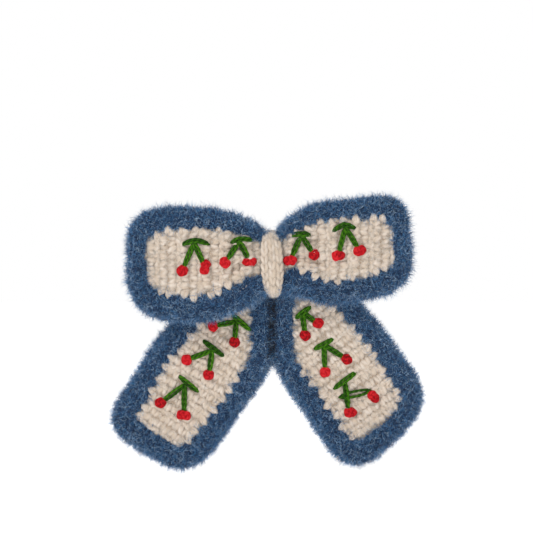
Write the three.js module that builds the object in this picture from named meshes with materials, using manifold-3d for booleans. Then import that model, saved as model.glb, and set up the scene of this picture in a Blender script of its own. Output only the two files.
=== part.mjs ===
// Crocheted hair bow on a sprung alligator clip.
// Millimetres, +Z up. The bow faces -Y and the head is on its +Y side.
// The origin lies between the clip's two jaws, on the bow's centre line.

import * as THREE from 'three';
import { mergeVertices } from 'three/addons/utils/BufferGeometryUtils.js';
import Module from 'manifold-3d';

const wasm = await Module();
wasm.setup();

// ---- Driving dimensions ----

const gap = 0.3; // air left between pieces that touch

// Crocheted cloth
const clothHalf = 1.5; // half the cream panels' thickness
const bowWaistY = -7.4; // middle of the bow's cloth inside the band
const bowLoopPuff = 1.0; // how far the loops stand forward of the waist
const bowWaistReach = 4; // half the length of the pinched waist
const bowFullReach = 15; // where the loops reach their full border
const bowEdgeHalf = { waist: 1.5, loop: 4.0 }; // half the blue border's width
const bowEdgeHalfThick = { waist: 1.6, loop: 3.0 };
const tailY = -1.0; // middle of the tails' cloth
const tailEdgeHalf = { top: 3.0, side: 4.2 };
const tailEdgeHalfThick = 2.9;
const tailTopZ = -13; // above this the tails' borders are narrow
const tailFullZ = -24; // below this they have their full width
const tailLean = { left: 34, right: 35 }; // degrees from straight down
const fieldEndTrim = 1.2; // cut off the rounded ends of a cream field

// Gathered middle of the tails' strip
const gatherY = -4.0;
const gatherHalf = { x: 8.2, y: 1.0, z: 8.0 };

// Yarn wound round the pinched bow, and the knitted band over it
const cinch = { front: -10.6, back: -2.2, halfHeight: 9.9, halfWidth: 1.8, halfThick: 0.5 };
const band = { front: -12.8, back: 1.1, halfHeight: 12.2, halfWidth: 4.85, halfThick: 1.1 };
const ringSquareness = 3.2; // exponent of the rings' rounded rectangle

// Embroidery
const strandRadius = 0.85; // a doubled green strand
const strandTipRadius = 0.5;
const berryRadius = 2.0;
const berryHalfDepth = 1.4;
const stemStop = berryRadius + strandTipRadius + gap;

// Alligator clip
const sheet = 0.8; // thickness of the spring steel
const plateHalf = { length: 27.5, width: 4.5 };
const plateBackY = -0.5;
const cornerShare = 0.8; // corner radius of a strip's end, as a part of its half width
const earHalfLength = 3.4;
const earTopY = 3.6;
const earThick = 0.6;
const jawHalfWidth = 3.5;
const jawEarOuter = 3.4;
const jawEarThick = 0.6;
const jawEarRadius = 1.6;
const pinRadius = 0.8;
const pinHole = 0.95;
const pinHead = { radius: 1.35, height: 0.55 };
const pinX = -15;
const pinY = 1.9;
const pinEndPlay = 0.15; // between an ear and a rivet head
const toothNotch = { x: 27.4, y: 0.6, radius: 1.6, pitch: 2.3 };
const jawPlan = { tab: -28.2, tip: 27.6 };
const jawEarTop = { front: 4.3, back: 5.5 }; // where the ears meet the strip
const coilRadius = 1.4;
const coilTurns = 3.5;
const coilWidth = 2.85;
const stepsPerTurn = 12;
const wireRadius = 0.35;
const springLeg = { bend: 3, reach: 6.5 }; // both legs run towards the finger tabs
const fixedLegY = plateBackY + 0.75;
const movingLegRise = { bend: 2.1, end: 3.6 }; // above the pin

// Middle of the blue border round the bow, anticlockwise from the front (x, z)
const bowOutline = [
  [0, 7.2], [-5.4, 8.6], [-10, 11.9], [-16, 14.8], [-26, 17.6], [-38, 18.6], [-48, 16.6],
  [-53.2, 11.5], [-53.8, 4], [-53.6, -4], [-52, -12], [-46.5, -16.8], [-38, -18.5],
  [-27, -18.8], [-16.5, -16.4], [-9.5, -12.8], [-5.4, -9], [0, -7.2], [5.4, -8.4],
  [10, -9.8], [17, -10.3], [27, -10.8], [37, -10.2], [45.5, -9], [50.3, -5.2], [51.6, 1],
  [51.8, 9], [50.9, 17], [47, 21.6], [39.5, 22.6], [28, 20.8], [17, 18.8], [10, 14.6],
  [5.4, 9.8],
];

// Middle of the border round each tail, anticlockwise from its inner top corner
const leftTailOutline = [
  [-5.2, -17.2], [-9.5, -12.6], [-15.5, -10.9], [-22.5, -13.6], [-30, -20.2], [-38, -27.8],
  [-45.4, -38], [-52, -48.5], [-57.3, -56.3], [-60.2, -62], [-58.3, -66.3], [-51, -70.4],
  [-43, -75.7], [-37.2, -78.2], [-31.8, -76.4], [-25.8, -69.6], [-18, -57.3],
  [-9.3, -46.3], [-4.9, -38], [-4.6, -27],
];
const rightTailOutline = [
  [5.2, -17.2], [4.6, -27], [4.9, -37.3], [8.5, -45], [14.3, -53.8], [21.8, -65.2],
  [27, -72.8], [32.3, -76.2], [39, -74], [48, -68.3], [54.3, -59.6], [56, -53.3],
  [54, -46.3], [47.8, -38], [40, -28.5], [32.3, -20.2], [25, -13.8], [17.5, -10.9],
  [10, -12.6],
];

// Cherries: a leaf stitch, two stems and two knotted berries each (x, z)
const vSprig = (apex, leaf, berries) => {
  const start = ontoLeaf(apex, leaf);
  return { leaf, stems: berries.map((berry) => [start, stopShort(start, berry)]), berries };
};

const leftLoopCherries = [
  vSprig([-31.3, 7.8], [[-35.9, 8.2], [-25.2, 8.6]], [[-35.8, -2.7], [-26.6, -1.2]]),
  vSprig([-12.6, 7.4], [[-15.8, 8.2], [-9.2, 8]], [[-18.6, 0.5], [-8.9, 0.9]]),
];
const rightLoopCherries = [
  vSprig([11.7, 10.2], [[9.2, 9.4], [15, 11.6]], [[7.6, 1.1], [16.9, 3.8]]),
  vSprig([29.2, 14.2], [[24.2, 13.6], [33.3, 14.4]], [[26.4, 3.4], [35, 5.3]]),
];
const leftTailCherries = [
  vSprig([-14.1, -22.9], [[-16.3, -20.6], [-10.2, -26.2]], [[-23.4, -25], [-14.9, -31.6]]),
  vSprig([-23.9, -35.5], [[-27.8, -30.9], [-19.3, -37.4]], [[-34.2, -38.7], [-25.3, -44.6]]),
  vSprig([-35.8, -49.5], [[-37.6, -45.2], [-29.8, -51.6]], [[-44.8, -56], [-35.4, -61]]),
];
const rightTailCherries = [
  vSprig([12.4, -19.6], [[10.6, -21.4], [15.6, -17.2]], [[13.5, -28.9], [18.9, -23.9]]),
  vSprig([21.1, -33.5], [[17.1, -34.2], [24.6, -30.3]], [[21.8, -43.7], [30.8, -38.7]]),
  {
    leaf: [[25, -50.4], [33.8, -43.7]],
    stems: [[[29.4, -47], [30.8, -57]], [[27, -53.6], [38.6, -50.6]]],
    berries: [[31.8, -59.9], [41.5, -53.6]],
  },
];

// ---- Materials ----

const paint = (color, roughness, metalness = 0) =>
  new THREE.MeshStandardMaterial({ color, roughness, metalness });

const creamYarn = () => paint(0xe0d3c3, 0.95);
const blueYarn = () => paint(0x3f6290, 1.0);
const greenYarn = () => paint(0x2f6f12, 0.8);
const redYarn = () => paint(0xc8202a, 0.75);
const steel = () => paint(0xb4b6b8, 0.35, 0.9);

// ---- Small helpers ----

function ontoLeaf([x, z], [[ax, az], [bx, bz]]) {
  const reach = (x - ax) * (bx - ax) + (z - az) * (bz - az);
  const part = reach / ((bx - ax) ** 2 + (bz - az) ** 2);
  return [ax + (bx - ax) * part, az + (bz - az) * part];
}

function stopShort(from, to) {
  const length = Math.hypot(to[0] - from[0], to[1] - from[1]);
  const keep = (length - stemStop) / length;
  return [from[0] + (to[0] - from[0]) * keep, from[1] + (to[1] - from[1]) * keep];
}

// 0 in the pinched waist, 1 in the open loops
const bowSpread = (x) => THREE.MathUtils.smoothstep(Math.abs(x), bowWaistReach, bowFullReach);
const bowMiddleY = (x) => bowWaistY - bowLoopPuff * bowSpread(x);

const bowEdgeWidth = (p) =>
  THREE.MathUtils.lerp(bowEdgeHalf.waist, bowEdgeHalf.loop, bowSpread(p.x));

const bowEdgeDepth = (p) =>
  THREE.MathUtils.lerp(bowEdgeHalfThick.waist, bowEdgeHalfThick.loop, bowSpread(p.x));

const tailEdgeWidth = (p) =>
  THREE.MathUtils.lerp(
    tailEdgeHalf.top,
    tailEdgeHalf.side,
    THREE.MathUtils.smoothstep(-p.z, -tailTopZ, -tailFullZ),
  );

const closedCurve = (points) => new THREE.CatmullRomCurve3(points, true, 'centripetal');
const frontCurve = (outline, y) =>
  closedCurve(outline.map(([x, z]) => new THREE.Vector3(x, y, z)));

function positionsOnly(geometry) {
  geometry.deleteAttribute('normal');
  geometry.deleteAttribute('uv');
  const merged = mergeVertices(geometry, 1e-4);
  merged.computeVertexNormals();
  return merged;
}

// A closed ring along a curve that runs anticlockwise about the axis `up`.
// section(point, angle) gives the offsets outward and along `up`.
function ringAlong(curve, up, section, around = 8, along = 56) {
  const geometry = new THREE.TorusGeometry(1, 0.5, around, along);
  const place = geometry.attributes.position;
  for (let i = 0; i < place.count; i += 1) {
    const t = (i % (along + 1)) / along;
    const angle = (Math.floor(i / (along + 1)) / around) * Math.PI * 2;
    const point = curve.getPointAt(t % 1);
    const outward = curve.getTangentAt(t % 1).cross(up).normalize();
    const [out, lift] = section(point, angle % (Math.PI * 2));
    point.addScaledVector(outward, out).addScaledVector(up, lift);
    place.setXYZ(i, point.x, point.y, point.z);
  }
  return positionsOnly(geometry);
}

// The outline that lies inside a border: its middle line moved inward
function insideOf(curve, halfWidth, count = 240) {
  const front = new THREE.Vector3(0, -1, 0);
  const points = [];
  for (let i = 0; i < count; i += 1) {
    const point = curve.getPointAt(i / count);
    const outward = curve.getTangentAt(i / count).cross(front).normalize();
    points.push(point.clone().addScaledVector(outward, -halfWidth(point) - gap));
  }
  return points;
}

// Lowest and highest place across an outline at one station along it
function spanAt(outline, along, across, station) {
  const found = [];
  outline.forEach((a, i) => {
    const b = outline[(i + 1) % outline.length];
    const sa = a.dot(along) - station;
    const sb = b.dot(along) - station;
    if (sa * sb < 0) {
      found.push(a.clone().lerp(b, sa / (sa - sb)).dot(across));
    }
  });
  return [Math.min(...found), Math.max(...found)];
}

// A crocheted panel that fills an outline, in rows across the direction `along`
function panelInside(outline, along, middleY, rows, stitches) {
  const across = new THREE.Vector3(-along.z, 0, along.x);
  const stations = outline.map((p) => p.dot(along));
  const first = Math.min(...stations) + fieldEndTrim;
  const last = Math.max(...stations) - fieldEndTrim;
  const geometry = new THREE.BoxGeometry(1, 1, 1, rows, stitches, 1);
  const place = geometry.attributes.position;
  for (let i = 0; i < place.count; i += 1) {
    const station = THREE.MathUtils.lerp(first, last, place.getX(i) + 0.5);
    const [low, high] = spanAt(outline, along, across, station);
    const point = along.clone().multiplyScalar(station);
    point.addScaledVector(across, THREE.MathUtils.lerp(low, high, place.getY(i) + 0.5));
    point.y = middleY(point.x) - Math.sign(place.getZ(i)) * clothHalf;
    place.setXYZ(i, point.x, point.y, point.z);
  }
  return positionsOnly(geometry);
}

function toManifold(geometry) {
  const clean = positionsOnly(geometry);
  return new wasm.Manifold(new wasm.Mesh({
    numProp: 3,
    vertProperties: new Float32Array(clean.attributes.position.array),
    triVerts: new Uint32Array(clean.index.array),
  }));
}

function fromManifold(solid) {
  const mesh = solid.getMesh();
  const geometry = new THREE.BufferGeometry();
  geometry.setAttribute('position', new THREE.BufferAttribute(mesh.vertProperties, 3));
  geometry.setIndex(new THREE.BufferAttribute(mesh.triVerts, 1));
  geometry.computeVertexNormals();
  return geometry;
}

const joined = (geometries) => fromManifold(
  geometries.map(toManifold).reduce((whole, piece) => whole.add(piece)),
);

const group = new THREE.Group();

function addPiece(name, geometry, material) {
  const mesh = new THREE.Mesh(geometry, material);
  mesh.name = name;
  group.add(mesh);
}

// ---- Crochet ----

const frontward = new THREE.Vector3(0, -1, 0);
const bowCurve = frontCurve(bowOutline, 0);
const leftTailCurve = frontCurve(leftTailOutline, tailY);
const rightTailCurve = frontCurve(rightTailOutline, tailY);

function bowEdging() {
  return ringAlong(bowCurve, frontward, (p, angle) => [
    Math.cos(angle) * bowEdgeWidth(p),
    Math.sin(angle) * bowEdgeDepth(p) - bowMiddleY(p.x),
  ], 8, 84);
}

function tailEdging(curve) {
  return ringAlong(curve, frontward, (p, angle) => [
    Math.cos(angle) * tailEdgeWidth(p),
    Math.sin(angle) * tailEdgeHalfThick,
  ]);
}

function bowPanel() {
  const along = new THREE.Vector3(1, 0, 0);
  return panelInside(insideOf(bowCurve, bowEdgeWidth), along, bowMiddleY, 30, 5);
}

function tailPanel(curve, lean, side) {
  const angle = THREE.MathUtils.degToRad(lean);
  const along = new THREE.Vector3(side * Math.sin(angle), 0, -Math.cos(angle));
  return panelInside(insideOf(curve, tailEdgeWidth), along, () => tailY, 14, 5);
}

// The middle of the tails' strip, bunched behind the bow inside the band
function tailGather() {
  const geometry = new THREE.SphereGeometry(1, 16, 10);
  geometry.scale(gatherHalf.x, gatherHalf.y, gatherHalf.z);
  geometry.translate(0, gatherY, 0);
  return positionsOnly(geometry);
}

// A ring round the bow's waist: a rounded rectangle seen from the side
function waistRing({ front, back, halfHeight, halfWidth, halfThick }, around, along) {
  const power = 2 / ringSquareness;
  const rounded = (value) => Math.sign(value) * Math.abs(value) ** power;
  const points = [];
  const corners = 24;
  for (let i = 0; i < corners; i += 1) {
    const angle = (i / corners) * Math.PI * 2;
    const y = (front + back) / 2 + ((back - front) / 2) * rounded(Math.cos(angle));
    points.push(new THREE.Vector3(0, y, halfHeight * rounded(Math.sin(angle))));
  }
  return ringAlong(closedCurve(points), new THREE.Vector3(1, 0, 0), (p, angle) => [
    rounded(Math.cos(angle)) * halfThick,
    rounded(Math.sin(angle)) * halfWidth,
  ], around, along);
}

// ---- Embroidery ----

function strand([ax, az], [bx, bz], y) {
  const length = Math.hypot(bx - ax, bz - az);
  const geometry = new THREE.CylinderGeometry(strandTipRadius, strandTipRadius, length, 6, 2);
  const place = geometry.attributes.position;
  const swell = strandRadius / strandTipRadius;
  for (let i = 0; i < place.count; i += 1) {
    if (Math.abs(place.getY(i)) < length / 4) {
      place.setX(i, place.getX(i) * swell);
      place.setZ(i, place.getZ(i) * swell);
    }
  }
  geometry.rotateX(Math.PI / 2);
  geometry.rotateY(Math.atan2(bx - ax, bz - az));
  geometry.translate((ax + bx) / 2, y, (az + bz) / 2);
  return geometry;
}

function berry([x, z], y) {
  const geometry = new THREE.SphereGeometry(berryRadius, 8, 6);
  geometry.scale(1, berryHalfDepth / berryRadius, 1);
  geometry.translate(x, y, z);
  return positionsOnly(geometry);
}

function addCherries(place, cherries, middleY) {
  cherries.forEach(({ leaf, stems, berries }, index) => {
    const name = `${place}_cherry_${index + 1}`;
    const xs = [...leaf, ...stems.flat()].map(([x]) => x);
    const clothFront = Math.min(...xs.map(middleY)) - clothHalf;
    const strands = [leaf, ...stems].map(([a, b]) => strand(a, b, clothFront - gap - strandRadius));
    addPiece(`${name}_sprig`, joined(strands), greenYarn());
    berries.forEach((centre, side) => {
      const y = middleY(centre[0]) - clothHalf - gap - berryHalfDepth;
      addPiece(`${name}_berry_${'ab'[side]}`, berry(centre, y), redYarn());
    });
  });
}

// ---- Clip ----

function roundedPlan(xLow, xHigh, halfWidth, depth) {
  const radius = halfWidth * cornerShare;
  const shape = new THREE.Shape();
  shape.moveTo(xLow + radius, -halfWidth);
  shape.lineTo(xHigh - radius, -halfWidth);
  shape.absarc(xHigh - radius, radius - halfWidth, radius, -Math.PI / 2, 0);
  shape.lineTo(xHigh, halfWidth - radius);
  shape.absarc(xHigh - radius, halfWidth - radius, radius, 0, Math.PI / 2);
  shape.lineTo(xLow + radius, halfWidth);
  shape.absarc(xLow + radius, halfWidth - radius, radius, Math.PI / 2, Math.PI);
  shape.lineTo(xLow, radius - halfWidth);
  shape.absarc(xLow + radius, radius - halfWidth, radius, Math.PI, Math.PI * 1.5);
  const geometry = new THREE.ExtrudeGeometry(shape, {
    depth, bevelEnabled: false, curveSegments: 4,
  });
  geometry.rotateX(Math.PI / 2);
  return geometry;
}

function pinBore(radius) {
  const bore = new THREE.CylinderGeometry(radius, radius, plateHalf.width * 4, 12);
  bore.rotateX(Math.PI / 2);
  bore.translate(pinX, pinY, 0);
  return toManifold(bore);
}

function slab(shape, zLow, zHigh) {
  const geometry = new THREE.ExtrudeGeometry(shape, {
    depth: zHigh - zLow, bevelEnabled: false, curveSegments: 6,
  });
  geometry.translate(0, 0, zLow);
  return toManifold(geometry);
}

function clipFrontPlate() {
  const plan = roundedPlan(-plateHalf.length, plateHalf.length, plateHalf.width, sheet);
  plan.translate(0, plateBackY, 0);
  let plate = toManifold(plan);
  const ear = new THREE.Shape();
  ear.moveTo(pinX - earHalfLength, plateBackY - sheet / 2);
  ear.lineTo(pinX + earHalfLength, plateBackY - sheet / 2);
  ear.lineTo(pinX + earHalfLength / 2, earTopY);
  ear.lineTo(pinX - earHalfLength / 2, earTopY);
  ear.closePath();
  const outer = plateHalf.width;
  plate = plate.add(slab(ear, outer - earThick, outer));
  plate = plate.add(slab(ear, -outer, earThick - outer));
  return fromManifold(plate.subtract(pinBore(pinHole)));
}

// Side view of the rear jaw's strip, from its toothed tip to its finger tab (x, y)
const jawLine = [
  [26.9, 0.35], [25.4, 1.1], [21, 2.7], [15, 3.6], [-8, 3.6], [-12.5, 4.4], [-16.5, 5],
  [-21, 6.9], [-27.3, 9.4],
];

function stripAlong(line) {
  const points = line.map(([x, y]) => new THREE.Vector2(x, y));
  const offset = (side) => points.map((point, i) => {
    const before = points[Math.max(i - 1, 0)];
    const after = points[Math.min(i + 1, points.length - 1)];
    const direction = after.clone().sub(before).normalize();
    return new THREE.Vector2(
      point.x - direction.y * side * sheet / 2,
      point.y + direction.x * side * sheet / 2,
    );
  });
  return new THREE.Shape([...offset(1), ...offset(-1).reverse()]);
}

function clipRearJaw() {
  let jaw = slab(stripAlong(jawLine), -jawHalfWidth, jawHalfWidth);
  const tallest = plateHalf.length; // more than the strip's height
  const plan = roundedPlan(jawPlan.tab, jawPlan.tip, jawHalfWidth, tallest);
  plan.translate(0, tallest / 2, 0);
  jaw = jaw.intersect(toManifold(plan));
  const ear = new THREE.Shape();
  ear.moveTo(pinX + earHalfLength, jawEarTop.front);
  ear.lineTo(pinX - earHalfLength, jawEarTop.back);
  ear.lineTo(pinX - jawEarRadius, pinY);
  ear.absarc(pinX, pinY, jawEarRadius, Math.PI, Math.PI * 2);
  ear.closePath();
  jaw = jaw.add(slab(ear, jawEarOuter - jawEarThick, jawEarOuter));
  jaw = jaw.add(slab(ear, -jawEarOuter, jawEarThick - jawEarOuter));
  jaw = jaw.subtract(pinBore(pinHole));
  [-0.5, 0.5].forEach((step) => {
    const { x, y, radius, pitch } = toothNotch;
    const notch = new THREE.CylinderGeometry(radius, radius, pitch * 2, 4);
    notch.scale(1, 1, 0.5);
    notch.translate(x, y, step * pitch);
    jaw = jaw.subtract(toManifold(notch));
  });
  return fromManifold(jaw);
}

function clipHingePin() {
  const shoulder = plateHalf.width + pinEndPlay;
  const end = shoulder + pinHead.height;
  const profile = [
    [0, -end], [pinHead.radius, -end], [pinHead.radius, -shoulder], [pinRadius, -shoulder],
    [pinRadius, shoulder], [pinHead.radius, shoulder], [pinHead.radius, end], [0, end],
  ];
  const geometry = new THREE.LatheGeometry(profile.map(([r, h]) => new THREE.Vector2(r, h)), 12);
  geometry.rotateX(Math.PI / 2);
  geometry.translate(pinX, pinY, 0);
  return positionsOnly(geometry);
}

function clipSpring() {
  const lowZ = -coilWidth / 2;
  const highZ = coilWidth / 2;
  const points = [
    new THREE.Vector3(pinX - springLeg.reach, fixedLegY, lowZ),
    new THREE.Vector3(pinX - springLeg.bend, fixedLegY, lowZ),
  ];
  const steps = stepsPerTurn * coilTurns;
  for (let i = 0; i <= steps; i += 1) {
    const angle = (i / stepsPerTurn) * Math.PI * 2 - Math.PI / 2;
    points.push(new THREE.Vector3(
      pinX + Math.cos(angle) * coilRadius,
      pinY + Math.sin(angle) * coilRadius,
      THREE.MathUtils.lerp(lowZ, highZ, i / steps),
    ));
  }
  points.push(new THREE.Vector3(pinX - springLeg.bend, pinY + movingLegRise.bend, highZ));
  points.push(new THREE.Vector3(pinX - springLeg.reach, pinY + movingLegRise.end, highZ));
  const wire = new THREE.Shape();
  wire.absarc(0, 0, wireRadius, 0, Math.PI * 2);
  return new THREE.ExtrudeGeometry(wire, {
    steps: 76,
    curveSegments: 3,
    bevelEnabled: false,
    extrudePath: new THREE.CatmullRomCurve3(points),
  });
}

// ---- Assembly ----

addPiece('bow_panel', bowPanel(), creamYarn());
addPiece('bow_edging', bowEdging(), blueYarn());
addPiece('left_tail_panel', tailPanel(leftTailCurve, tailLean.left, -1), creamYarn());
addPiece('left_tail_edging', tailEdging(leftTailCurve), blueYarn());
addPiece('right_tail_panel', tailPanel(rightTailCurve, tailLean.right, 1), creamYarn());
addPiece('right_tail_edging', tailEdging(rightTailCurve), blueYarn());
addPiece('tail_gather', tailGather(), creamYarn());
addPiece('cinch_yarn', waistRing(cinch, 6, 32), creamYarn());
addPiece('knot_band', waistRing(band, 12, 36), creamYarn());

addCherries('left_loop', leftLoopCherries, bowMiddleY);
addCherries('right_loop', rightLoopCherries, bowMiddleY);
addCherries('left_tail', leftTailCherries, () => tailY);
addCherries('right_tail', rightTailCherries, () => tailY);

addPiece('clip_front_plate', clipFrontPlate(), steel());
addPiece('clip_rear_jaw', clipRearJaw(), steel());
addPiece('clip_hinge_pin', clipHingePin(), steel());
addPiece('clip_spring', clipSpring(), steel());

export default group;
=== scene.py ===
import math

import bpy
import numpy as np
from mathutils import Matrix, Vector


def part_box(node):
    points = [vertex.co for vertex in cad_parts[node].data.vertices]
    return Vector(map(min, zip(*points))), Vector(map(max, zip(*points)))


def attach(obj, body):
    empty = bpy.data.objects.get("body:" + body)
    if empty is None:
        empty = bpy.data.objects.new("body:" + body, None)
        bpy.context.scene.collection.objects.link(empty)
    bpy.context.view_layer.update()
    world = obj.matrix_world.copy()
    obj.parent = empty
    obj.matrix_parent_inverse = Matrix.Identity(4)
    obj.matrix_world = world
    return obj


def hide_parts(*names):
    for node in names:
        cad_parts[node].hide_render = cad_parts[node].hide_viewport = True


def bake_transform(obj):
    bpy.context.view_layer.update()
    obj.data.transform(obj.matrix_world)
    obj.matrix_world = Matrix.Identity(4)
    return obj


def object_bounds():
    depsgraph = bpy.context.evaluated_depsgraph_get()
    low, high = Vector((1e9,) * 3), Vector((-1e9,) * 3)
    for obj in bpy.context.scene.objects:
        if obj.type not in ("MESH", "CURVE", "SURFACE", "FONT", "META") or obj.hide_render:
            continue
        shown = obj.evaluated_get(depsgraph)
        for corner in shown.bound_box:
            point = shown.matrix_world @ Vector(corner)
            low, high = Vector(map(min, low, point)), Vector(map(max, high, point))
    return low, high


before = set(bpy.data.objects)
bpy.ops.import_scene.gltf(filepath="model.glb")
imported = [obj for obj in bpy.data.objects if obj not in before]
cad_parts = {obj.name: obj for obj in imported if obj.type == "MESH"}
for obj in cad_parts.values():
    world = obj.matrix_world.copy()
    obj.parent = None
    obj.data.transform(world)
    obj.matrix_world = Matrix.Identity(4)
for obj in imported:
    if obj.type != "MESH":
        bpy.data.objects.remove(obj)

mm = 0.001  # the lists and sizes below are in millimetres
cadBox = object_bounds()

studio = {
    "lens": 100,
    "aimAt": (-2.2, -9.0, -1.0),
    "away": 592.2,
    "floorBelow": 6.0,
    "floorSize": 6000.0,
    "floorGlow": 0.66,
    "worldLight": 0.4,
    # name, place, size, watts, colour
    "lamps": [
        ("keyLamp", (-420, -520, 620), 420, 3.7, (1.0, 0.985, 0.96)),
        ("fillLamp", (560, -620, 120), 600, 0.9, (0.95, 0.98, 1.0)),
        ("backLamp", (100, 620, 500), 500, 1.0, (1.0, 1.0, 1.0)),
    ],
}


def hexColour(code):
    parts = [int(code[i:i + 2], 16) / 255 for i in (0, 2, 4)]
    return tuple(p / 12.92 if p <= 0.04045 else ((p + 0.055) / 1.055) ** 2.4 for p in parts) + (1.0,)


def softLamp(name, place, size, watts, colour):
    data = bpy.data.lights.new(name, "AREA")
    data.shape = "DISK"
    data.size = size * mm
    data.energy = watts
    data.color = colour
    lamp = bpy.data.objects.new(name, data)
    bpy.context.scene.collection.objects.link(lamp)
    lamp.location = [p * mm for p in place]
    lamp.rotation_euler = (-lamp.location).to_track_quat("-Z", "Y").to_euler()


def makeStudio():
    aim = [a * mm for a in studio["aimAt"]]
    data = bpy.data.cameras.new("studioCamera")
    data.lens = studio["lens"]
    data.sensor_width = 36
    data.clip_start = 0.01
    data.clip_end = 20
    camera = bpy.data.objects.new("studioCamera", data)
    bpy.context.scene.collection.objects.link(camera)
    camera.location = (aim[0], aim[1] - studio["away"] * mm, aim[2])
    camera.rotation_euler = (math.radians(90), 0, 0)
    bpy.context.scene.camera = camera

    for lamp in studio["lamps"]:
        softLamp(*lamp)

    bpy.ops.object.select_all(action="DESELECT")
    low = cadBox[0]
    bpy.ops.mesh.primitive_plane_add(
        size=studio["floorSize"] * mm,
        location=(0, 0, low.z - studio["floorBelow"] * mm),
    )
    floor = bpy.context.object
    floor.name = "studioFloor"
    paint = bpy.data.materials.new("palePaper")
    paint.use_nodes = True
    shader = paint.node_tree.nodes["Principled BSDF"]
    shader.inputs["Base Color"].default_value = (0.93, 0.93, 0.93, 1)
    shader.inputs["Roughness"].default_value = 0.9
    shader.inputs["Emission Color"].default_value = (1, 1, 1, 1)
    shader.inputs["Emission Strength"].default_value = studio["floorGlow"]
    floor.data.materials.append(paint)

    world = bpy.data.worlds.new("studioWorld")
    bpy.context.scene.world = world
    world.use_nodes = True
    nodes, links = world.node_tree.nodes, world.node_tree.links
    nodes.clear()
    rays = nodes.new("ShaderNodeLightPath")
    mix = nodes.new("ShaderNodeMixShader")
    out = nodes.new("ShaderNodeOutputWorld")
    links.new(rays.outputs["Is Camera Ray"], mix.inputs[0])
    # what lights the bow, and what the camera sees behind it
    for place, strength in ((1, studio["worldLight"]), (2, 1.0)):
        sky = nodes.new("ShaderNodeBackground")
        sky.inputs["Color"].default_value = (1, 1, 1, 1)
        sky.inputs["Strength"].default_value = strength
        links.new(sky.outputs[0], mix.inputs[place])
    links.new(mix.outputs[0], out.inputs["Surface"])
    bpy.context.scene.view_settings.view_transform = "Standard"
    print("studio ready")


makeStudio()


class Wire:
    # one socket of a shader, so that the maths on it can be written as sums
    def __init__(self, finish, socket):
        self.finish = finish
        self.socket = socket

    def maths(self, operation, *values):
        return self.finish.add("ShaderNodeMath", {"operation": operation}, *values)

    def __add__(self, other):
        return self.maths("ADD", self, other)

    __radd__ = __add__

    def __mul__(self, other):
        return self.maths("MULTIPLY", self, other)

    __rmul__ = __mul__

    def __sub__(self, other):
        return self.maths("SUBTRACT", self, other)

    def __rsub__(self, other):
        return self.maths("SUBTRACT", other, self)


class Finish:
    # a material whose nodes are added one by one
    def __init__(self, name):
        self.material = bpy.data.materials.new(name)
        self.material.use_nodes = True
        self.tree = self.material.node_tree
        self.shader = self.tree.nodes["Principled BSDF"]

    def plug(self, socket, value):
        if isinstance(value, Wire):
            self.tree.links.new(value.socket, socket)
        elif value is not None:
            socket.default_value = value

    def add(self, kind, settings=None, *values, out=0, **named):
        node = self.tree.nodes.new(kind)
        stops = (settings or {}).get("stops")
        for key, value in (settings or {}).items():
            if key != "stops":
                setattr(node, key, value)
        if stops:
            ramp = node.color_ramp
            while len(ramp.elements) < len(stops):
                ramp.elements.new(0.5)
            for element, (place, colour) in zip(ramp.elements, stops):
                element.position = place
                element.color = colour
        for socket, value in zip(node.inputs, values):
            self.plug(socket, value)
        for key, value in named.items():
            self.plug(node.inputs[key], value)
        return Wire(self, node.outputs[out])

    def surface(self, **named):
        for key, value in named.items():
            self.plug(self.shader.inputs[key], value)
        return self.material


def yarnFinish(name, deep, plain, bright, plies, pitch, sheen=0.25, ridge=0.55):
    # yarn whose own UV map runs along it in millimetres and once round it
    f = Finish(name)
    uv = f.add("ShaderNodeUVMap", {"uv_map": "yarn"})
    along = f.add("ShaderNodeSeparateXYZ", None, uv)
    around = Wire(f, along.socket.node.outputs[1])
    tone = f.add("ShaderNodeAttribute", {"attribute_name": "tone"}, out=2)
    turn = (around * plies - along * (1 / pitch)) * (2 * math.pi)
    ply = f.add("ShaderNodeMath", {"operation": "COSINE"}, turn) * 0.5 + 0.5
    hairAt = f.add("ShaderNodeCombineXYZ", None, along * 1.6 + tone * 31.0,
                   (around * plies - along * (1 / pitch)) * 5.0, tone * 17.0)
    hair = f.add("ShaderNodeTexNoise", None, Vector=hairAt, Scale=1.0, Detail=3.0,
                 Roughness=0.65)
    spot = f.add("ShaderNodeTexCoord", None, out=3)
    cloud = f.add("ShaderNodeTexNoise", None, Vector=spot, Scale=140.0, Detail=2.0)
    mix = ply * 0.35 + hair * 0.5 + tone * 0.35 + cloud * 0.3 - 0.25
    colour = f.add("ShaderNodeValToRGB", {"stops": [(0.12, deep), (0.5, plain), (0.86, bright)]}, mix)
    height = ply * ridge + hair * 0.7
    bump = f.add("ShaderNodeBump", None, Strength=0.4, Distance=0.2 * mm, Height=height)
    return f.surface(**{
        "Base Color": colour,
        "Roughness": 0.92,
        "Specular IOR Level": 0.22,
        "Sheen Weight": sheen,
        "Sheen Roughness": 0.5,
        "Normal": bump,
    })


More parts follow.
